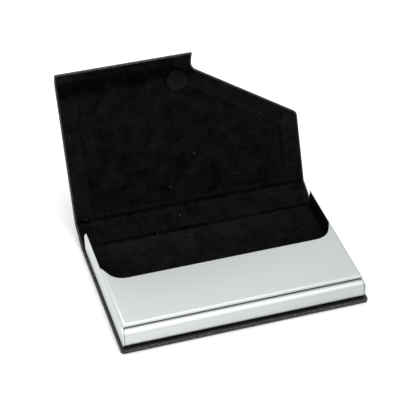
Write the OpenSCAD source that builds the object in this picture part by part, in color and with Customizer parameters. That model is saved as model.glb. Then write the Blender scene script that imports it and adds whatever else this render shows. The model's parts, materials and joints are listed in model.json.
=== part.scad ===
// Business card case: a sheet steel tray glued to a leathercloth cover, with a felt-lined
// flap that closes over the tray's nose by a magnet. It is drawn standing open, with the
// flap folded up behind the tray. The origin is the middle of the base's underside.
// +X runs along the folds, +Y from the tray's nose to the folds, and +Z is up.

/* [Tray] */
// Width of the steel tray over its side walls
tray_w = 93; // [92:0.5:94]
// Depth of the tray from the front of its nose to the back of its walls
tray_d = 59; // [58:0.5:60]
// Height of the tray from its underside to its top plate
tray_h = 8.3; // [7.9:0.1:8.6]
// Thickness of the sheet steel
steel_t = 0.5; // [0.4:0.05:0.6]
// How far the nose stands out in front of the top plate
nose_out = 3; // [2.8:0.1:3.4]
// Outer radius of the bends between the top plate and the side walls
side_bend_r = 2; // [1.6:0.1:2.4]
// Distance from the front of the nose to the straight edge of the thumb cut-out
plate_d = 28.1; // [24:0.1:32]
// Radius of the two inner corners of the cut-out
cut_r = 7; // [5:0.5:9]

/* [Cover] */
// Width of the leathercloth cover
cover_w = 95.2; // [95:0.1:96]
// Thickness of the base and of the spine
base_t = 1.9; // [1.8:0.05:2]
// Thickness of the leathercloth
skin_t = 0.4; // [0.3:0.05:0.45]
// Rim of the base that shows in front of the nose
base_rim = 0.9; // [0.6:0.1:1.2]
// Radius of the outer corners of the cover
corner_r = 1.4; // [1:0.1:2]

/* [Flap] */
// Distance from the back of the tray to the lower fold
fold_gap = 1.45; // [1.4:0.05:1.6]
// Distance between the two folds
spine_l = 11.4; // [11.3:0.1:11.8]
// Thickness of the flap over its raised border
lid_t = 2; // [1.9:0.05:2.1]
// Distance from the upper fold to the start of the curled lip
lid_l = 53.8; // [53.8:0.1:54.4]
// Length of the right side of the flap, up to where the slanted edge starts
lid_side_l = 28.7; // [22:0.5:34]
// Distance of the right end of the lip from the middle of the flap
lip_x = 6.8; // [2:0.5:14]
// Outer radius of the curl of the lip
lip_r = 8; // [7.8:0.1:8.4]
// Angle through which the lip curls
lip_sweep = 56; // [48:1:56]
// Thickness of the lip
lip_t = 1.2; // [1.1:0.05:1.2]
// Width of the turned-in border under the felt of the flap
border_w = 7.2; // [6:0.2:8]

/* [Felt and magnet] */
// Thickness of the felt in the tray
felt_t = 0.5; // [0.3:0.05:0.6]
// Thickness of the felt on the flap
lining_t = 0.3; // [0.25:0.05:0.35]
// Radius of the magnet
magnet_r = 3.6; // [3:0.1:3.6]
// Distance from the upper fold to the middle of the magnet
magnet_l = 49.8; // [40:0.2:49.8]

/* [Pose] */
// Angle of the spine above the table
spine_a = 26; // [10:1:40]
// Angle of the flap above the table
lid_a = 68; // [50:1:85]

/* [Hidden] */
$fn = 64;

over = 1;
// Levels and lines of the tray, which stands on a thin film of adhesive
glue_t = 0.1;
glue_inset = 2;
tray_z = base_t + glue_t;
nose_y = -tray_d / 2;
back_y = tray_d / 2;
// The lower fold, and the round beads of leathercloth on both fold lines
fold_y = back_y + fold_gap;
fold_z = base_t / 2;
bead_r = 0.7;
bead_w = cover_w - 1;
web_t = 0.5;
fold_clear = 1.15;
// The nose is flat in front, between a bend up from the floor and a bend back under the plate
nose_mid = 0.56 * tray_h;
nose_top = tray_h - 1.5;
nose_up_r = nose_top - nose_mid;
nose_low_r = 2;
nose_tuck = 1.2;
plate_bend_r = 1;
wall_tip_r = 1.5;
// The thumb cut-out runs along the side walls partway round their bends. Its front corners
// slant outwards to meet that line
wall_cut_a = 52;
wall_cut = side_bend_r * (1 - cos(wall_cut_a));
flare_l = 8.9;
flare_a = 23;
nick_r = 0.3;
end_gap = 0.2;
// Felt in the tray: clear of the walls, of the inside of the nose and of the walls' ends
felt_gap = 0.1;
nose_clear = 1.2;
wall_felt_front = 4;
wall_felt_back = 1.2;
wall_felt_r = 1;
// Hems of leathercloth are pressed a little thinner than the rest
hem_t = 0.3;
base_hem_w = 8;
// Levels through the flap, from its outer face to its felt
lid_out = -base_t / 2;
lid_in = lid_out + lid_t;
lid_hem_z = lid_in - lining_t;
lid_board_z = lid_hem_z - hem_t;
// The magnet is sunk into the board and stands proud of the hem under the felt
magnet_sink = 0.3;
magnet_rise = 0.25;
magnet_skirt = 0.4;
// The felt fills the window in the hem a little above the hem's own level
window_r = 0.6;
window_rise = 0.05;
felt_edge = 0.3;
// Layers of the lip, from its outer face inwards
lip_skin = 0.35;
lip_felt = 0.25;
lip_z = lid_out + lip_r;

// Points of an arc about c with radius r, from angle a to angle b, in n steps
function arc(c, r, a, b, n = 8) =
    [for (i = [0 : n]) let (t = a + (b - a) * i / n) c + r * [cos(t), sin(t)]];

// The corner p of an outline, between its neighbours a and b, rounded by r
function round_corner(a, p, b, r, n = 6) =
    let (
        u = (a - p) / norm(a - p),
        v = (b - p) / norm(b - p),
        half = acos(u * v) / 2,
        c = p + (u + v) / norm(u + v) * r / sin(half),
        t0 = p + u * r / tan(half) - c,
        t1 = p + v * r / tan(half) - c,
        a0 = atan2(t0[1], t0[0]),
        turn = atan2(t1[1], t1[0]) - a0,
        sweep = turn > 180 ? turn - 360 : turn < -180 ? turn + 360 : turn
    ) arc(c, r, a0, a0 + sweep, n);

// The outline p with each corner p[i] rounded by r[i]
function rounded(p, r) =
    let (n = len(p))
    [for (i = [0 : n - 1])
        each r[i] == 0 ? [p[i]] : round_corner(p[(i + n - 1) % n], p[i], p[(i + 1) % n], r[i])];

// The line of the nose from its foot to its top, moved inwards by t
function nose_line(t) = concat(
    arc([nose_low_r, nose_low_r], nose_low_r - t, 270, 180, 8),
    arc([nose_up_r, nose_mid], nose_up_r - t, 180, 90, 9));

function reversed(p) = [for (i = [len(p) - 1 : -1 : 0]) p[i]];

// Outline of the flap, moved inwards by inset, with its lower edge at the fold's clearance
function lid_line(inset) =
    let (
        w = cover_w / 2 - inset,
        slant_a = atan2(lid_l - lid_side_l, cover_w / 2 - lip_x),
        side_y = lid_side_l - inset * tan((90 - slant_a) / 2),
        top_x = lip_x - inset / sin(slant_a)
    )
    [[-w, fold_clear + inset], [w, fold_clear + inset], [w, side_y], [top_x, lid_l], [-w, lid_l]];

// Draws a YZ outline as a bar from x0 to x1
module bar_x(x0, x1) {
    translate([x0, 0, 0]) rotate([90, 0, 90]) linear_extrude(x1 - x0) children();
}

// Draws an XY outline as a slab from z0 to z1
module slab(z0, z1) {
    translate([0, 0, z0]) linear_extrude(z1 - z0) children();
}

// Stands the spine, drawn flat from the lower fold along +Y, at its angle
module at_spine() {
    translate([0, fold_y, fold_z]) rotate([spine_a, 0, 0]) children();
}

// Stands the flap, drawn flat from the upper fold along +Y, at its angle
module at_lid() {
    at_spine() translate([0, spine_l, 0]) rotate([lid_a - spine_a, 0, 0]) children();
}

module base_outline(inset = 0) {
    w = cover_w / 2 - inset;
    y0 = nose_y - base_rim + inset;
    y1 = fold_y - fold_clear - inset;
    polygon(rounded([[-w, y0], [w, y0], [w, y1], [-w, y1]], [corner_r, corner_r, 0, 0]));
}

module base_board() {
    color("tan") slab(skin_t, base_t - hem_t) base_outline(skin_t);
}

// One piece of leathercloth under the board, turned in over its edges as a hem
module base_cover() {
    color("#202022") difference() {
        slab(0, base_t) base_outline();
        slab(skin_t, base_t - hem_t) base_outline(skin_t);
        slab(base_t - hem_t, base_t + over) base_outline(base_hem_w);
    }
}

// The film fills the window inside the hem and lies on the hem under the tray
module tray_adhesive() {
    color("gainsboro") {
        slab(base_t - hem_t, base_t) base_outline(base_hem_w);
        slab(base_t, tray_z) translate([glue_inset - tray_w / 2, nose_y + nose_out])
            square([tray_w - 2 * glue_inset, tray_d - nose_out - glue_inset]);
    }
}

// Floor plate whose front edge is rolled up into the nose, closed under the top plate
module tray_floor() {
    inside = tray_w / 2 - steel_t - end_gap;
    floor_back = tray_d - wall_tip_r / 2;
    tuck = nose_up_r + nose_tuck;
    section = concat(
        [[floor_back, 0]], nose_line(0), [[tuck, nose_top], [tuck, nose_top - steel_t]],
        reversed(nose_line(steel_t)), [[floor_back, steel_t]]);
    color("silver") translate([0, nose_y, tray_z]) bar_x(-inside, inside) polygon(section);
}

// The steel case seen from the side: nose, bend of the top plate, and rounded back tips
module side_outline() {
    back = rounded([[tray_d, 0], [tray_d, tray_h], [tray_d / 2, tray_h]], [0, wall_tip_r, 0]);
    bend = [nose_out + plate_bend_r, tray_h - plate_bend_r];
    polygon(concat(back, arc(bend, plate_bend_r, 90, 180, 6), reversed(nose_line(0))));
}

// What is empty inside the steel, seen from the side: open at the front, back and bottom
module side_inside() {
    bend = [nose_out + plate_bend_r, tray_h - plate_bend_r];
    polygon(concat(
        [[-over, -over], [tray_d + over, -over], [tray_d + over, tray_h - steel_t]],
        arc(bend, plate_bend_r - steel_t, 90, 180, 6),
        [[-over, bend[1]]]));
}

// The steel case seen from the front, moved inwards by inset
module front_outline(inset) {
    w = tray_w / 2 - inset;
    r = side_bend_r - inset;
    low = inset > 0 ? -over : 0;
    polygon(rounded(
        [[-w, low], [w, low], [w, tray_h - inset], [-w, tray_h - inset]], [0, 0, r, r]));
}

// The thumb cut-out seen from above, open at the back
module cut_outline() {
    w = tray_w / 2 - wall_cut;
    x1 = w - flare_l * tan(flare_a);
    y1 = plate_d + flare_l;
    back = tray_d + over;
    polygon(rounded([[-w, y1], [-x1, plate_d], [x1, plate_d], [w, y1], [w, back], [-w, back]],
        [nick_r, cut_r, cut_r, nick_r, 0, 0]));
}

module along_tray() {
    translate([0, tray_d + over, 0]) rotate([90, 0, 0]) linear_extrude(tray_d + 2 * over)
        children();
}

// Top plate and side walls, bent from one sheet, with the thumb cut-out at the back
module tray_shell() {
    w = tray_w / 2;
    color("silver") translate([0, nose_y, tray_z]) difference() {
        intersection() {
            bar_x(-w, w) side_outline();
            along_tray() front_outline(0);
        }
        intersection() {
            bar_x(-w, w) side_inside();
            along_tray() front_outline(steel_t);
        }
        slab(tray_h - side_bend_r - over, tray_h + over) cut_outline();
    }
}

module floor_felt() {
    w = tray_w / 2 - steel_t - end_gap - felt_gap;
    y0 = nose_low_r + nose_clear;
    color("#2b2b2d") translate([0, nose_y, tray_z + steel_t]) slab(0, felt_t)
        translate([-w, y0]) square([2 * w, tray_d - wall_tip_r / 2 - y0]);
}

// Strip of felt on the inner face of the wall on side s
module wall_felt(s) {
    low = steel_t + felt_t;
    high = tray_h - side_bend_r;
    x0 = tray_w / 2 - steel_t - felt_t;
    y0 = wall_felt_front;
    y1 = tray_d - wall_felt_back;
    outline = rounded(
        [[y0, low], [y1, low], [y1, high], [y0, high]], [0, 0, wall_felt_r, wall_felt_r]);
    color("#2b2b2d") translate([0, nose_y, tray_z])
        bar_x(s > 0 ? x0 : -x0 - felt_t, s > 0 ? x0 + felt_t : -x0) polygon(outline);
}

module left_wall_felt() {
    wall_felt(-1);
}

module right_wall_felt() {
    wall_felt(1);
}

// Round bead of leathercloth on a fold line, with the web that joins it to the panel before
module bead() {
    rotate([0, 90, 0]) cylinder(h = bead_w, r = bead_r, center = true);
    slab(-web_t / 2, web_t / 2) translate([-bead_w / 2, -fold_clear])
        square([bead_w, fold_clear]);
}

module base_fold() {
    color("#202022") translate([0, fold_y, fold_z]) bead();
}

module lid_fold() {
    color("#202022") at_spine() translate([0, spine_l, 0]) bead();
}

module spine_outline(inset = 0) {
    w = cover_w / 2 - inset;
    translate([-w, fold_clear + inset])
        square([2 * w, spine_l - 2 * fold_clear - 2 * inset]);
}

module spine_board() {
    color("tan") at_spine() slab(skin_t - fold_z, fold_z - lining_t) spine_outline(skin_t);
}

module spine_cover() {
    color("#202022") at_spine() difference() {
        slab(-fold_z, fold_z) spine_outline();
        slab(skin_t - fold_z, fold_z + over) spine_outline(skin_t);
    }
}

module spine_lining() {
    color("#2b2b2d") at_spine() slab(fold_z - lining_t, fold_z) spine_outline(skin_t);
}

module lid_outline(inset = 0) {
    polygon(rounded(lid_line(inset), [0, 0, corner_r, 0, 0]));
}

// The hem's window is set in on three sides, and runs up to the foot of the lip
module lid_window() {
    polygon(rounded(lid_line(border_w),
        [window_r, window_r, 2 * window_r, 2 * window_r, window_r]));
}

module lid_board() {
    color("tan") at_lid() difference() {
        slab(lid_out + skin_t, lid_board_z) lid_outline(skin_t);
        magnet_space();
    }
}

module magnet_space() {
    translate([0, magnet_l, lid_board_z - magnet_sink])
        cylinder(h = magnet_sink + hem_t + magnet_rise, r = magnet_r);
}

module magnet() {
    color("#8a8c90") at_lid() magnet_space();
}

// Leathercloth on the outer face, turned in over the edges as a raised border
module lid_cover() {
    color("#202022") at_lid() difference() {
        slab(lid_out, lid_hem_z) lid_outline();
        slab(lid_out + skin_t, lid_board_z) lid_outline(skin_t);
        slab(lid_board_z, lid_hem_z + over) lid_window();
        magnet_space();
    }
}

// Felt over the whole inner face: high on the border, low in the window and over the magnet
module lid_lining() {
    color("#2b2b2d") at_lid() difference() {
        union() {
            difference() {
                slab(lid_hem_z, lid_in) lid_outline(felt_edge);
                slab(lid_hem_z - over, lid_in + over) lid_window();
            }
            slab(lid_board_z, lid_hem_z + window_rise) lid_window();
            translate([0, magnet_l, lid_hem_z])
                cylinder(h = magnet_rise + lining_t, r = magnet_r + magnet_skirt);
        }
        magnet_space();
    }
}

// Outline of the lip seen along the flap's face, with its two free corners rounded
module lip_outline() {
    w = cover_w / 2;
    reach = lip_r * sin(lip_sweep);
    polygon(rounded(
        [[-w, lid_l], [lip_x, lid_l], [lip_x, lid_l + reach], [-w, lid_l + reach]],
        [0, 0, corner_r, corner_r]));
}

// One layer of the lip, from depth d0 to depth d1 under its outer face, set in at its ends
module lip_layer(d0, d1, inset) {
    outer = lip_r - d0;
    inner = lip_r - d1;
    c = [lid_l, lip_z];
    trim = inset / lip_r * 180 / PI;
    section = concat(
        arc(c, outer, -90, lip_sweep - 90 - trim, 12),
        arc(c, inner, lip_sweep - 90 - trim, -90, 12));
    intersection() {
        bar_x(inset - cover_w / 2, lip_x - inset) polygon(section);
        slab(-over, lip_r) lip_outline();
    }
}

module lip_board() {
    color("tan") at_lid() lip_layer(lip_skin, lip_t - lip_felt, lip_skin);
}

module lip_cover() {
    color("#202022") at_lid() difference() {
        lip_layer(0, lip_t - lip_felt, 0);
        lip_layer(lip_skin, lip_t, lip_skin);
    }
}

module lip_lining() {
    color("#2b2b2d") at_lid() lip_layer(lip_t - lip_felt, lip_t, lip_skin);
}

base_board();
base_cover();
tray_adhesive();
tray_floor();
tray_shell();
floor_felt();
left_wall_felt();
right_wall_felt();
base_fold();
spine_board();
spine_cover();
spine_lining();
lid_fold();
lid_board();
lid_cover();
lid_lining();
magnet();
lip_board();
lip_cover();
lip_lining();
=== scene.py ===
import json
from math import atan2, cos, hypot, radians, sin

import bmesh
import bpy
from mathutils import Matrix, Quaternion, Vector, noise


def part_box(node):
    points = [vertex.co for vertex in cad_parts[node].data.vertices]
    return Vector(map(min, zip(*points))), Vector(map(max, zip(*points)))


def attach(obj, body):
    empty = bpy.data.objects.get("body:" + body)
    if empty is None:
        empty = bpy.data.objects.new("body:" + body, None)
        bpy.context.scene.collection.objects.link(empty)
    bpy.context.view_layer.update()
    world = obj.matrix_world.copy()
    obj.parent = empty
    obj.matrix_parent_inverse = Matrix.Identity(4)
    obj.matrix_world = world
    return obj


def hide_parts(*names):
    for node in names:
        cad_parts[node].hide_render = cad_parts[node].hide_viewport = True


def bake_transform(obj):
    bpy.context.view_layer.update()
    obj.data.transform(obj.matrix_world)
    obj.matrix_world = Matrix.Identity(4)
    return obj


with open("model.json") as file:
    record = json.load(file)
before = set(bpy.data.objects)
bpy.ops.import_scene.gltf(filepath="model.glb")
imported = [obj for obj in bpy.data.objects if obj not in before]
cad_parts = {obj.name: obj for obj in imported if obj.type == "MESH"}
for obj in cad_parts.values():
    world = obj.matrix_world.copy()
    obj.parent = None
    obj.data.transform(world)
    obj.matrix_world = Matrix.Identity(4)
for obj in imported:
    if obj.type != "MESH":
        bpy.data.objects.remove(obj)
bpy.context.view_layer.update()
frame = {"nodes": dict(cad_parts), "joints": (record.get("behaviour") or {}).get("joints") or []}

# ---- Camera, floor and light ----
# The case stands on a pale sweep in a bright, soft room. The camera looks down on it from
# the front, a little from the left, with a long lens.
aim = Vector((-0.0085, 0, 0.0389))
camera_turn, camera_height, camera_roll = radians(-16.41), radians(37.54), radians(-0.75)
camera_reach = 0.5601
back = Vector((sin(camera_turn) * cos(camera_height),
               -cos(camera_turn) * cos(camera_height), sin(camera_height)))
camera = bpy.data.objects.new("camera", bpy.data.cameras.new("camera"))
camera.data.lens = 138.3
camera.data.clip_start, camera.data.clip_end = 0.05, 10
camera.location = aim + back * camera_reach
camera.rotation_mode = "QUATERNION"
camera.rotation_quaternion = (-back).to_track_quat("-Z", "Y") @ Quaternion((0, 0, 1), camera_roll)
bpy.context.scene.collection.objects.link(camera)
bpy.context.scene.camera = camera
bpy.context.scene.view_settings.view_transform = "Standard"


class Wire:
    """A node's output, which adds Math nodes when Python arithmetic is done on it."""

    def __init__(self, paint, socket):
        self.paint, self.socket = paint, socket

    def maths(self, operation, a, b):
        return self.paint.add("ShaderNodeMath", {"operation": operation}, {0: a, 1: b})

    def __add__(self, other):
        return self.maths("ADD", self, other)

    def __sub__(self, other):
        return self.maths("SUBTRACT", self, other)

    def __rsub__(self, other):
        return self.maths("SUBTRACT", other, self)

    def __mul__(self, other):
        return self.maths("MULTIPLY", self, other)

    def __gt__(self, other):
        return self.maths("GREATER_THAN", self, other)

    def __lt__(self, other):
        return self.maths("LESS_THAN", self, other)

    __radd__, __rmul__ = __add__, __mul__


class Paint:
    """A material under construction: add() makes any node and links or sets its sockets."""

    def __init__(self, name):
        self.material = bpy.data.materials.new(name)
        self.material.use_nodes = True
        self.tree = self.material.node_tree
        self.shader = self.tree.nodes["Principled BSDF"]

    def feed(self, node, inputs):
        for key, value in inputs.items():
            if isinstance(value, Wire):
                self.tree.links.new(value.socket, node.inputs[key])
            else:
                node.inputs[key].default_value = value

    def add(self, kind, settings, inputs, out=0):
        node = self.tree.nodes.new(kind)
        for key, value in settings.items():
            setattr(node, key, value)
        self.feed(node, inputs)
        return Wire(self, node.outputs[out])

    def place(self, stretch=(1, 1, 1), source=None):
        """Object coordinates in metres, or a piece's own attribute, stretched."""
        if source:
            where = self.add("ShaderNodeAttribute", {"attribute_name": source}, {}, "Vector")
        else:
            where = self.add("ShaderNodeTexCoord", {}, {}, "Object")
        return self.add("ShaderNodeMapping", {}, {"Vector": where, "Scale": stretch})

    def noise(self, where, size, detail=2, rough=0.5):
        """Noise from 0 to 1 whose lumps are about size metres across."""
        return self.add("ShaderNodeTexNoise", {}, {"Vector": where, "Scale": 1 / size,
                                                   "Detail": detail, "Roughness": rough})

    def between(self, share, low, high):
        """A colour that goes from low to high as share goes from 0 to 1."""
        return self.add("ShaderNodeMix", {"data_type": "RGBA"},
                        {"Factor": share, 6: (*low, 1), 7: (*high, 1)}, 2)

    def bump(self, height, depth):
        """Relief of the given depth in metres, where height goes from 0 to 1."""
        return self.add("ShaderNodeBump", {},
                        {"Height": height, "Distance": depth, "Strength": 1.0})


def made(name, bm, material):
    """Turns a bmesh into a shown, smooth piece with one material."""
    mesh = bpy.data.meshes.new(name)
    bm.to_mesh(mesh)
    bm.free()
    mesh.polygons.foreach_set("use_smooth", [True] * len(mesh.polygons))
    mesh.materials.append(material)
    piece = bpy.data.objects.new(name, mesh)
    bpy.context.scene.collection.objects.link(piece)
    return piece


floor_paint = Paint("pale_floor")
floor_tone = floor_paint.noise(floor_paint.place(), 0.08, 3)
floor_paint.feed(floor_paint.shader, {
    "Base Color": floor_paint.between(floor_tone, (0.94, 0.94, 0.94), (0.96, 0.96, 0.96)),
    "Roughness": 0.6, "Specular IOR Level": 0.2})
sweep = bmesh.new()
bmesh.ops.create_grid(sweep, x_segments=1, y_segments=1, size=3)
made("floor", sweep, floor_paint.material)

world = bpy.data.worlds.new("bright_room")
world.use_nodes = True
world.node_tree.nodes["Background"].inputs["Color"].default_value = (1, 1, 1, 1)
world.node_tree.nodes["Background"].inputs["Strength"].default_value = 1.0
bpy.context.scene.world = world


def softbox(name, place, width, length, watts):
    """A soft area light aimed at the middle of the case."""
    light = bpy.data.objects.new(name, bpy.data.lights.new(name, "AREA"))
    light.data.shape, light.data.size, light.data.size_y = "RECTANGLE", width, length
    light.data.energy = watts
    light.location = place
    light.rotation_mode = "QUATERNION"
    light.rotation_quaternion = (Vector(place) - aim).to_track_quat("Z", "Y")
    bpy.context.scene.collection.objects.link(light)


softbox("over_front", (0.05, -0.50, 0.75), 0.8, 0.5, 1.3)
softbox("overhead", (0.10, 0.08, 0.90), 0.8, 0.5, 2.8)

# ---- Steel tray ----
# Two pieces of half-millimetre satin stainless sheet: a floor whose front edge is rolled up
# into the nose, and a shell of top plate and side walls that is slid over it. Both are
# stamped, so their cut edges are only just broken.
mm = 0.001
edge_break = 0.07 * mm


def satin_steel():
    """Steel brushed along x, with painted light making it paler at its left end, and faint marks
    of handling.
    """
    paint = Paint("satin_steel")
    along = paint.place(stretch=(0.04, 1, 1))
    lines = paint.noise(along, 0.12 * mm, 3, 0.6)
    cloud = paint.noise(paint.place(), 60 * mm, 2)
    handled = paint.noise(paint.place(), 3.5 * mm, 4, 0.6)
    end = paint.add("ShaderNodeSeparateXYZ", {}, {"Vector": paint.place()}, "X")
    # Painted light: the end * 10 term paints the colour paler towards the left end (low x) and
    # darker towards the right, as if more light fell from the left.
    tone_and_painted_light = 0.45 - end * 10 + (cloud - 0.5) * 0.4 + (lines - 0.5) * 0.15
    paint.feed(paint.shader, {
        "Base Color": paint.between(tone_and_painted_light, (0.50, 0.53, 0.52), (0.67, 0.695, 0.685)),
        "Metallic": 1.0,
        "Roughness": 0.44 + lines * 0.08 + handled * 0.05,
        "Normal": paint.bump(lines, 0.0015 * mm)})
    return paint.material


steel = satin_steel()


def from_sheet(name, node):
    """A piece of sheet steel: the node's own shape, with whole faces and broken edges."""
    bm = bmesh.new()
    bm.from_mesh(frame["nodes"][node].data)
    bmesh.ops.remove_doubles(bm, verts=bm.verts, dist=0.002 * mm)
    bmesh.ops.dissolve_limit(bm, angle_limit=radians(0.5), verts=bm.verts, edges=bm.edges)
    piece = made(name, bm, steel)
    bevel = piece.modifiers.new("broken_edges", "BEVEL")
    bevel.width, bevel.segments = edge_break, 2
    bevel.limit_method, bevel.angle_limit = "ANGLE", radians(40)
    bevel.harden_normals = True
    level = piece.modifiers.new("flat_faces", "WEIGHTED_NORMAL")
    level.keep_sharp = True
    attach(piece, "base")
    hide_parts(node)


from_sheet("tray_shell_steel", "tray_shell")
from_sheet("tray_floor_steel", "tray_floor")

# ---- Leathercloth cover ----
# One hide of black leathercloth, glued round three boards and turned in over their edges. It
# is cut flat with soft rims, trimmed into the stretch that each panel or fold takes, pinched
# where it folds, and bent. Flat, y runs over base, spine and flap, and n is its height.
lower, upper = (Vector(joint["pos_m"]) for joint in frame["joints"])
spine_turn = atan2(upper.z - lower.z, upper.y - lower.y)
lid_turn = radians(90 - frame["joints"][1]["range_deg"][1])
fold_1, fold_2 = lower.y, lower.y + (upper - lower).length
middle_z = lower.z


def unfolded(node):
    """Lowest and highest corner of a node of the flap or the spine, with the cover laid flat."""
    flat = []
    for vertex in frame["nodes"][node].data.vertices:
        p = Matrix.Rotation(-spine_turn, 3, "X") @ (vertex.co - lower)
        p.y -= fold_2 - fold_1
        if not node.startswith("spine"):
            p = Matrix.Rotation(-lid_turn, 3, "X") @ p
        flat.append(p + Vector((0, fold_2, 0)))
    return [Vector(pick(p[i] for p in flat) for i in range(3)) for pick in (min, max)]


cover_thick, soft_rim = 1.9 * mm, 0.5 * mm
flap_length, right_length = 53.8 * mm, 28.7 * mm
half_width, front_edge = -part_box("base_cover")[0].x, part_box("base_cover")[0].y
lip_end_x = unfolded("lip_cover")[1].x
lip_start, slant_start = fold_2 + flap_length, fold_2 + right_length
slant_turn = atan2(lip_start - slant_start, half_width - lip_end_x)
lip_outer_r, lip_middle_r, lip_turn = 8 * mm, 7.4 * mm, radians(56)
lip_tip = lip_start + lip_middle_r * lip_turn
fold_half = 1.1 * mm
panel_gap = 2.2 * mm


def eased(low, high, value):
    """Goes smoothly from 0 to 1 as value goes from low to high."""
    t = min(max((value - low) / (high - low), 0), 1)
    return t * t * (3 - 2 * t)


def near_fold(y):
    """1 on a fold line, falling to 0 on the panels beside it."""
    return max(1 - eased(0.2 * mm, 1.9 * mm, abs(y - fold)) for fold in (fold_1, fold_2))


def bent(x, y, n):
    """Where a point of the flat cover lies once the lip is curled and both folds are bent."""
    flat_y = y
    if y > lip_start:
        turn, reach = (y - lip_start) / lip_middle_r, lip_outer_r - middle_z - n
        y, n = lip_start + reach * sin(turn), lip_outer_r - middle_z - reach * cos(turn)
    for fold, turn in ((fold_2, lid_turn), (fold_1, spine_turn)):
        part = turn * eased(fold - fold_half, fold + fold_half, flat_y)
        dy = y - fold
        y, n = fold + dy * cos(part) - n * sin(part), dy * sin(part) + n * cos(part)
    return Vector((x, y, n + middle_z))


# Height of the base's outer and inner face, and how far the inner face drops in turn on the
# spine, the flap and the lip; then how deep a fold is pinched from inside and from outside
outer_face, base_face, spine_drop = -0.95 * mm, 0.71 * mm, 0.01 * mm
flap_drop, lip_drop, pinch_in, pinch_out = 0.10 * mm, 0.57 * mm, 0.30 * mm, 0.25 * mm


def skin_level(y, high):
    """Height in the leathercloth of the base, spine, flap and lip; high goes from 0 to 1."""
    top = base_face - spine_drop * eased(fold_1 - 3.4 * mm, fold_1 - 2.8 * mm, y)
    top -= flap_drop * eased(fold_2 + 1 * mm, fold_2 + 3 * mm, y)
    top -= lip_drop * eased(lip_start - 0.3 * mm, lip_start + 1.9 * mm, y)
    top -= pinch_in * near_fold(y)
    bottom = outer_face + pinch_out * near_fold(y)
    return bottom + high * (top - bottom)


def rounded_face(corners, segments):
    """One flat face; each of its corners is a place and the radius that rounds it."""
    bm = bmesh.new()
    points = [bm.verts.new(place) for place, _ in corners]
    bm.faces.new(points)
    for point, (_, radius) in zip(points, corners):
        if radius:
            bmesh.ops.bevel(bm, geom=[point], offset=radius, offset_type="OFFSET",
                            segments=segments, profile=0.5, affect="VERTICES", material=-1)
    return bm


def thickened(bm, way, rim, segments):
    """Raises a flat face along a vector into a slab, and softens the rims of its faces."""
    slab = bmesh.ops.extrude_face_region(bm, geom=bm.faces[:])["geom"]
    raised = [item for item in slab if isinstance(item, bmesh.types.BMVert)]
    bmesh.ops.translate(bm, verts=raised, vec=way)
    bmesh.ops.recalc_face_normals(bm, faces=bm.faces)
    rims = [edge for edge in bm.edges
            if abs((edge.verts[0].co - edge.verts[1].co).dot(way.normalized())) < 1e-7]
    bmesh.ops.bevel(bm, geom=rims, offset=rim, offset_type="OFFSET", segments=segments,
                    profile=0.5, affect="EDGES", material=-1)


def cover_shape(inset):
    """The whole flat cover as one face, set in from its edges, with rounded corners."""
    side, foot = half_width - inset, inset * (1 - sin(slant_turn)) / cos(slant_turn)
    lip_side = lip_end_x - inset
    return rounded_face((((-side, front_edge + inset, 0), 1.4 * mm),
                         ((side, front_edge + inset, 0), 1.4 * mm),
                         ((side, slant_start - foot, 0), 1.3 * mm),
                         ((lip_side, lip_start - foot, 0), 1.6 * mm),
                         ((lip_side + 0.3 * mm, lip_tip - inset, 0), 0.7 * mm),
                         ((-side, lip_tip - inset, 0), 0.7 * mm)), 5)


def cut_at(bm, lines, axis):
    """Cuts every face along lines of constant x or y, so that the piece can bend there."""
    for line in lines:
        bmesh.ops.bisect_plane(bm, geom=bm.verts[:] + bm.edges[:] + bm.faces[:], dist=1e-7,
                               plane_co=(line, line, 0), plane_no=(1 - axis, axis, 0))


def bend_lines(start, end):
    """Lines close together on the folds and the lip, and far apart on the flat panels."""
    lines, y = [], start
    while y < end:
        y += (0.22 if near_fold(y + 1 * mm) > 0 or y > lip_start - 3 * mm else 0.9) * mm
        lines.append(y)
    return lines[:-1]


def trim(bm, start, end):
    """Keeps the stretch between two lines of constant y."""
    for line, out in ((start, -1), (end, 1)):
        bmesh.ops.bisect_plane(bm, geom=bm.verts[:] + bm.edges[:] + bm.faces[:], dist=1e-7,
                               plane_co=(0, line, 0), plane_no=(0, out, 0), clear_outer=True)


def keep_flat_place(bm):
    """Stores each point's place before bending, which the grain and the nap follow."""
    layer = bm.verts.layers.float_vector.new("flat")
    for vertex in bm.verts:
        vertex[layer] = vertex.co


def leathercloth():
    """Black coated cloth with a fine pebbled grain, semi-matt, rubbed shinier here and there."""
    paint = Paint("black_leathercloth")
    place = paint.place(source="flat")
    pebble = paint.add("ShaderNodeTexVoronoi", {"feature": "SMOOTH_F1"}, {
        "Vector": place, "Scale": 1 / (1.0 * mm), "Smoothness": 0.3, "Randomness": 0.9})
    crease = paint.noise(place, 0.8 * mm, 5, 0.62)
    rubbed = paint.noise(place, 9 * mm, 3)
    relief = pebble * 0.6 + crease * 0.5
    rim = paint.add("ShaderNodeAttribute", {"attribute_name": "rim"}, {}, "Fac")
    # Painted highlight: pale grey specks painted along the soft rims stand in for the grain
    # catching light at the cover's edges.
    painted_rim_glints = rim * (paint.noise(place, 0.5 * mm, 3, 0.7) > 0.55)
    # Painted shade and light: the grain's grooves, where relief is high, are painted darker and
    # the pebble tops paler.
    hide = paint.between(relief, (0.007, 0.007, 0.008), (0.002, 0.002, 0.003))
    paint.feed(paint.shader, {
        "Base Color": paint.add("ShaderNodeMix", {"data_type": "RGBA"},
                                {"Factor": painted_rim_glints, 6: hide, 7: (0.09, 0.09, 0.09, 1)}, 2),
        "Roughness": 0.32 + relief * 0.14 + rubbed * 0.16, "Specular IOR Level": 0.35,
        "Normal": paint.bump(1 - relief, 0.25 * mm)})
    return paint.material


leather = leathercloth()


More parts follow.
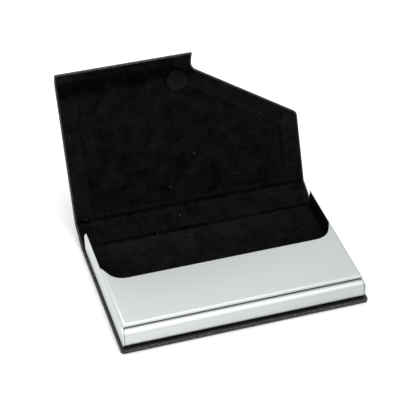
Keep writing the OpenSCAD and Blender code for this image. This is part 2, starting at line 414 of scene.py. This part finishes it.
def cover_stretch(name, start, end):
    """The leathercloth of one panel or fold, bent into its place."""
    bm = cover_shape(0)
    thickened(bm, Vector((0, 0, cover_thick)), soft_rim, 4)
    bmesh.ops.remove_doubles(bm, verts=bm.verts, dist=1e-6)
    trim(bm, start, end)
    cut_at(bm, bend_lines(start, end), 1)
    capped = bmesh.ops.holes_fill(bm, edges=[e for e in bm.edges if e.is_boundary], sides=0)
    for face in capped["faces"]:
        for edge in face.edges:
            edge.smooth = False
    bmesh.ops.recalc_face_normals(bm, faces=bm.faces)
    keep_flat_place(bm)
    rim = bm.verts.layers.float.new("rim")
    for vertex in bm.verts:
        x, y, n = vertex.co
        high = n / cover_thick
        vertex[rim] = 1 if 0.01 < high < 0.99 else 0
        vertex.co = bent(x, y, skin_level(y, high))
    piece = made(name, bm, leather)
    return piece


def across(piece, fold):
    """Bakes a fold strip's place into its mesh; the strip was already bent round its fold line
    when it was made.
    """
    middle = bent(0, fold, 0)
    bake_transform(piece)


base_end, spine_start = fold_1 - panel_gap, fold_1 + panel_gap
spine_end, flap_start = fold_2 - panel_gap, fold_2 + panel_gap
base_leather = cover_stretch("base_leather", front_edge - mm, base_end)
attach(base_leather, "base")
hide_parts("base_cover")
spine_leather = cover_stretch("spine_leather", spine_start, spine_end)
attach(spine_leather, "spine")
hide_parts("spine_cover")
flap_leather = cover_stretch("flap_leather", flap_start, lip_tip + mm)
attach(flap_leather, "lid")
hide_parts("lid_cover", "lip_cover")
lower_leather = cover_stretch("lower_fold_leather", base_end, spine_start)
across(lower_leather, fold_1)
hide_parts("base_fold")
upper_leather = cover_stretch("upper_fold_leather", spine_end, flap_start)
across(upper_leather, fold_2)
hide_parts("lid_fold")

# ---- Felt lining of the cover ----
# One piece of thin black felt, glued over the turned-in leathercloth from under the tray's
# back edge to the lip's tip. It shows what lies under it: the border of turned-in
# leathercloth, the corner where its layers cross, and the magnet disc.
felt_inset = 0.7 * mm
border_width = 7.2 * mm
magnet_low, magnet_high = unfolded("magnet")
magnet_at = (magnet_low + magnet_high) / 2
magnet_radius = (magnet_high.x - magnet_low.x) / 2


def edge_distance(x, y):
    """How far in a point of the flap is from its left, right or slanted edge."""
    slant = (half_width - x) * sin(slant_turn) + (slant_start - y) * cos(slant_turn)
    onto_lip = eased(lip_start - 5 * mm, lip_start, y)
    right = slant * (1 - onto_lip) + (lip_end_x - x) * onto_lip
    return min(half_width + x, half_width - x, right)


# Heights in millimetres: the felt on the spine and on the flap's board, how far the border,
# the far end, the magnet's top and crown and the crossed corner stand up, and the folds' depth
spine_felt_top, flap_felt_top, fold_depth = 0.93, 0.80, 0.35
border_rise, end_rise, knot_rise = 0.25, 0.12, 0.26
magnet_top, magnet_crown = 1.33, 0.05
knot_x, knot_y = half_width - 5.6 * mm, slant_start - 2.4 * mm


def felt_relief(x, y):
    """Height of what shows through the felt, in millimetres: raised border, magnet, folds."""
    if y < fold_2:
        return spine_felt_top - fold_depth * near_fold(y)
    hem = 1 - eased(border_width - 0.9 * mm, border_width + 0.9 * mm, edge_distance(x, y))
    hem = max(hem, 1 - eased(1.8 * mm, 3.4 * mm, y - fold_2))
    end = eased(lip_tip - 4.7 * mm, lip_tip - 4.0 * mm, y)
    relief = flap_felt_top + border_rise * hem + end_rise * end
    away = hypot(x - magnet_at.x, y - magnet_at.y) / magnet_radius
    disc = 1 - eased(0.92, 1.30, away)
    relief *= 1 - disc
    relief += (magnet_top + magnet_crown * (1 - min(away, 1) ** 2)) * disc
    dx, dy = x - knot_x, y - knot_y
    from_knot = hypot(0.6 * (dx + dy), 1.1 * (dx - dy))
    relief += knot_rise * (1 - eased(0.2 * mm, 3.4 * mm, from_knot))
    return relief - fold_depth * near_fold(y)


def felt_level(x, y):
    """Height of the felt's face over the middle of the cover's thickness."""
    onto_lip = eased(lip_start - 0.9 * mm, lip_start + 1.9 * mm, y)
    level = felt_relief(x, y) * (1 - 0.3 * onto_lip) - 0.32 * onto_lip
    level += 0.03 * noise.noise(Vector((x, y, 0)) / (8 * mm))
    rolled = 1 - eased(0, 0.5 * mm, min(edge_distance(x, y), lip_tip - y) - felt_inset)
    return (level - 0.12 * rolled) * mm


def felt():
    """Black short-napped felt: a fuzzy face, patches laid one way or the other, some lint."""
    paint = Paint("black_felt")
    place = paint.place(source="flat")
    fuzz = paint.noise(place, 0.16 * mm, 4, 0.7)
    tuft = paint.noise(place, 0.9 * mm, 4, 0.65)
    patch = paint.noise(place, 7 * mm, 4, 0.6)
    wale = paint.noise(paint.place(stretch=(0.25, 1, 1), source="flat"), 1.6 * mm, 3, 0.6)
    weft = paint.noise(paint.place(stretch=(1, 0.25, 1), source="flat"), 1.6 * mm, 3, 0.6)
    # Painted light and shade, read from an attribute stored on each piece: the felt is painted
    # paler on raised places and over the magnet, and darker in hollows, in the folds and in the
    # lip's curl.
    painted_shading = paint.add("ShaderNodeAttribute", {"attribute_name": "painted_shading"}, {}, "Fac")
    specks = paint.add("ShaderNodeTexVoronoi", {}, {"Vector": place, "Scale": 1 / (4 * mm)})
    lint = (specks < 0.04) * (paint.noise(place, 2.2 * mm, 1) > 0.53)
    shade = patch * 1.2 + wale * 0.5 + weft * 0.5 + tuft * 0.9 + painted_shading * 1.3 - 1.75
    cloth = paint.between(shade, (0.0005, 0.0005, 0.0005), (0.0088, 0.0088, 0.0093))
    paint.feed(paint.shader, {
        "Base Color": paint.add("ShaderNodeMix", {"data_type": "RGBA"},
                                {"Factor": lint, 6: cloth, 7: (0.16, 0.16, 0.15, 1)}, 2),
        "Roughness": 0.95, "Specular IOR Level": 0.02,
        "Normal": paint.bump(fuzz * 0.5 + tuft * 0.5, 0.08 * mm)})
    return paint.material


nap = felt()


def raise_to(bm, level):
    """Thickens a flat sheet: its face goes to level(x, y), and its back lies under it."""
    face = bmesh.ops.extrude_face_region(bm, geom=bm.faces[:])["geom"]
    for vertex in [item for item in face if isinstance(item, bmesh.types.BMVert)]:
        vertex.co.z = level(vertex.co.x, vertex.co.y)
    bmesh.ops.recalc_face_normals(bm, faces=bm.faces)


def keep_painted_shading(bm, relief):
    """Stores painted light and shade: paler on raised places and the magnet, darker in hollows
    and the lip's curl.
    """
    layer = bm.verts.layers.float.new("painted_shading")
    flat = bm.verts.layers.float_vector["flat"]
    reach = 1.3 * mm
    for vertex in bm.verts:
        x, y, _ = vertex[flat]
        here = relief(x, y)
        around = (relief(x - reach, y) + relief(x + reach, y)
                  + relief(x, y - reach) + relief(x, y + reach)) / 4
        # Painted shade in the lip's curl and in hollows; painted light on raised places and on
        # the magnet's top.
        curl = 1 - eased(0, 5 * mm, abs(y - lip_start + 0.6 * mm))
        painted_shading = 0.45 + (here - around) * 1.2 + (here - 0.85) * 0.2 - 0.32 * curl
        painted_shading += max(0, here - 1.1) * 0.8
        vertex[layer] = min(max(painted_shading, 0), 1)


def felt_stretch(name, start, end, step):
    """The felt of one panel or fold, bent into its place."""
    bm = cover_shape(felt_inset)
    trim(bm, start, end)
    cut_at(bm, bend_lines(start, end), 1)
    if step < mm:
        # Between the lines for bending, the relief of the flap needs cuts of its own
        cut_at(bm, [start + step * i for i in range(1, int((end - start) / step))], 1)
    cut_at(bm, [step * i - half_width for i in range(1, int(2 * half_width / step))], 0)
    bmesh.ops.remove_doubles(bm, verts=bm.verts, dist=2e-5)
    keep_flat_place(bm)
    keep_painted_shading(bm, felt_relief)
    raise_to(bm, felt_level)
    for vertex in bm.verts:
        x, y, n = vertex.co
        vertex.co = bent(x, y, n if n else skin_level(y, 1) + 0.02 * mm)
    piece = made(name, bm, nap)
    return piece


flap_felt = felt_stretch("flap_felt", flap_start, lip_tip, 0.5 * mm)
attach(flap_felt, "lid")
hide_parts("lid_lining", "lip_lining")
felt_width, felt_length = 2 * (half_width - felt_inset), lip_tip - felt_inset - flap_start
slant_width, slant_length = half_width - lip_end_x, lip_start - slant_start
trimmed = slant_width * (slant_length / 2 + lip_tip - lip_start)
felt_width * felt_length - trimmed
spine_felt = felt_stretch("spine_felt", spine_start, spine_end, 2 * mm)
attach(spine_felt, "spine")
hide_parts("spine_lining")
lower_felt = felt_stretch("lower_fold_felt", fold_1 - 2.6 * mm, spine_start, 2 * mm)
across(lower_felt, fold_1)
upper_felt = felt_stretch("upper_fold_felt", spine_end, flap_start, 2 * mm)
across(upper_felt, fold_2)

# ---- Felt in the tray ----
# A rectangle of the same felt laid on the steel floor, and a strip glued to the inside of
# each wall. The strips are low under the top plate, and taller beside the thumb cut-out.
floor_low, floor_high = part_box("floor_felt")


def floor_level(x, y):
    """Height of the felt's face: slightly uneven, and rolled down at its cut edges."""
    edge = min(x - floor_low.x, floor_high.x - x, y - floor_low.y, floor_high.y - y)
    ripple = noise.noise(Vector((x, y, 3)) / (13 * mm))
    return floor_high.z + (0.05 * ripple - 0.14 * (1 - eased(0, 0.6 * mm, edge))) * mm


bm = bmesh.new()
bmesh.ops.create_grid(bm, x_segments=120, y_segments=70, size=0.5)
floor_size = floor_high - floor_low
bmesh.ops.scale(bm, verts=bm.verts, vec=(floor_size.x, floor_size.y, 1))
bmesh.ops.translate(bm, verts=bm.verts, vec=(0, (floor_low.y + floor_high.y) / 2, floor_low.z))
keep_flat_place(bm)
# Painted light: the floor's felt is painted paler towards the back, where more light falls into
# the tray, and darker towards the front.
keep_painted_shading(bm, lambda x, y: 0.8 + 0.5 * y / (30 * mm))
raise_to(bm, floor_level)
floor_piece = made("floor_felt_laid", bm, nap)
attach(floor_piece, "base")
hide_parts("floor_felt")

strip_thick, strip_from_middle = 0.46 * mm, 45.46 * mm
under_plate, over_edge, step_y = 5.3 * mm, 6.75 * mm, 8 * mm


def wall_strip(name, node, side):
    """A strip of felt standing on the floor's felt, against the inside of one wall."""
    low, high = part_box(node)
    low_top, high_top = low.z + under_plate, low.z + over_edge
    bm = rounded_face((((0, low.y, low.z), 0), ((0, high.y, low.z), 0),
                       ((0, high.y, high_top), 1.3 * mm), ((0, step_y + mm, high_top), 0.3 * mm),
                       ((0, step_y, low_top), 0.3 * mm), ((0, low.y, low_top), 0.3 * mm)), 4)
    thickened(bm, Vector((strip_thick, 0, 0)), 0.12 * mm, 2)
    keep_flat_place(bm)
    keep_painted_shading(bm, lambda x, y: 0.6)
    middle = side * strip_from_middle - strip_thick / 2
    bmesh.ops.translate(bm, verts=bm.verts, vec=(middle, 0, 0))
    piece = made(name, bm, nap)
    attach(piece, "base")
    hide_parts(node)


wall_strip("left_wall_strip", "left_wall_felt", -1)
wall_strip("right_wall_strip", "right_wall_felt", 1)

# ---- Inside the cover ----
# What the leathercloth hides: grey bookbinder's board in each panel and in the lip, the film
# of glue under the tray, and the magnet, a plated disc let into the flap's board.


def hidden_layer(name, low, high, size, rough, metal, *nodes):
    """One procedural finish, put on the slots of the model's own nodes."""
    paint = Paint(name)
    grain = paint.noise(paint.place(), size, 4, 0.6)
    paint.feed(paint.shader, {"Base Color": paint.between(grain, low, high), "Metallic": metal,
                              "Roughness": rough + grain * 0.1,
                              "Normal": paint.bump(grain, 0.02 * mm)})
    for node in nodes:
        for slot in frame["nodes"][node].material_slots:
            slot.material = paint.material


hidden_layer("grey_board", (0.20, 0.18, 0.15), (0.36, 0.32, 0.27), 0.5 * mm, 0.8, 0.0,
             "base_board", "spine_board", "lid_board", "lip_board")
hidden_layer("clear_glue", (0.50, 0.49, 0.45), (0.62, 0.61, 0.57), 2 * mm, 0.3, 0.0,
             "tray_adhesive")
hidden_layer("plated_magnet", (0.50, 0.51, 0.53), (0.62, 0.63, 0.65), 0.3 * mm, 0.25, 1.0,
             "magnet")
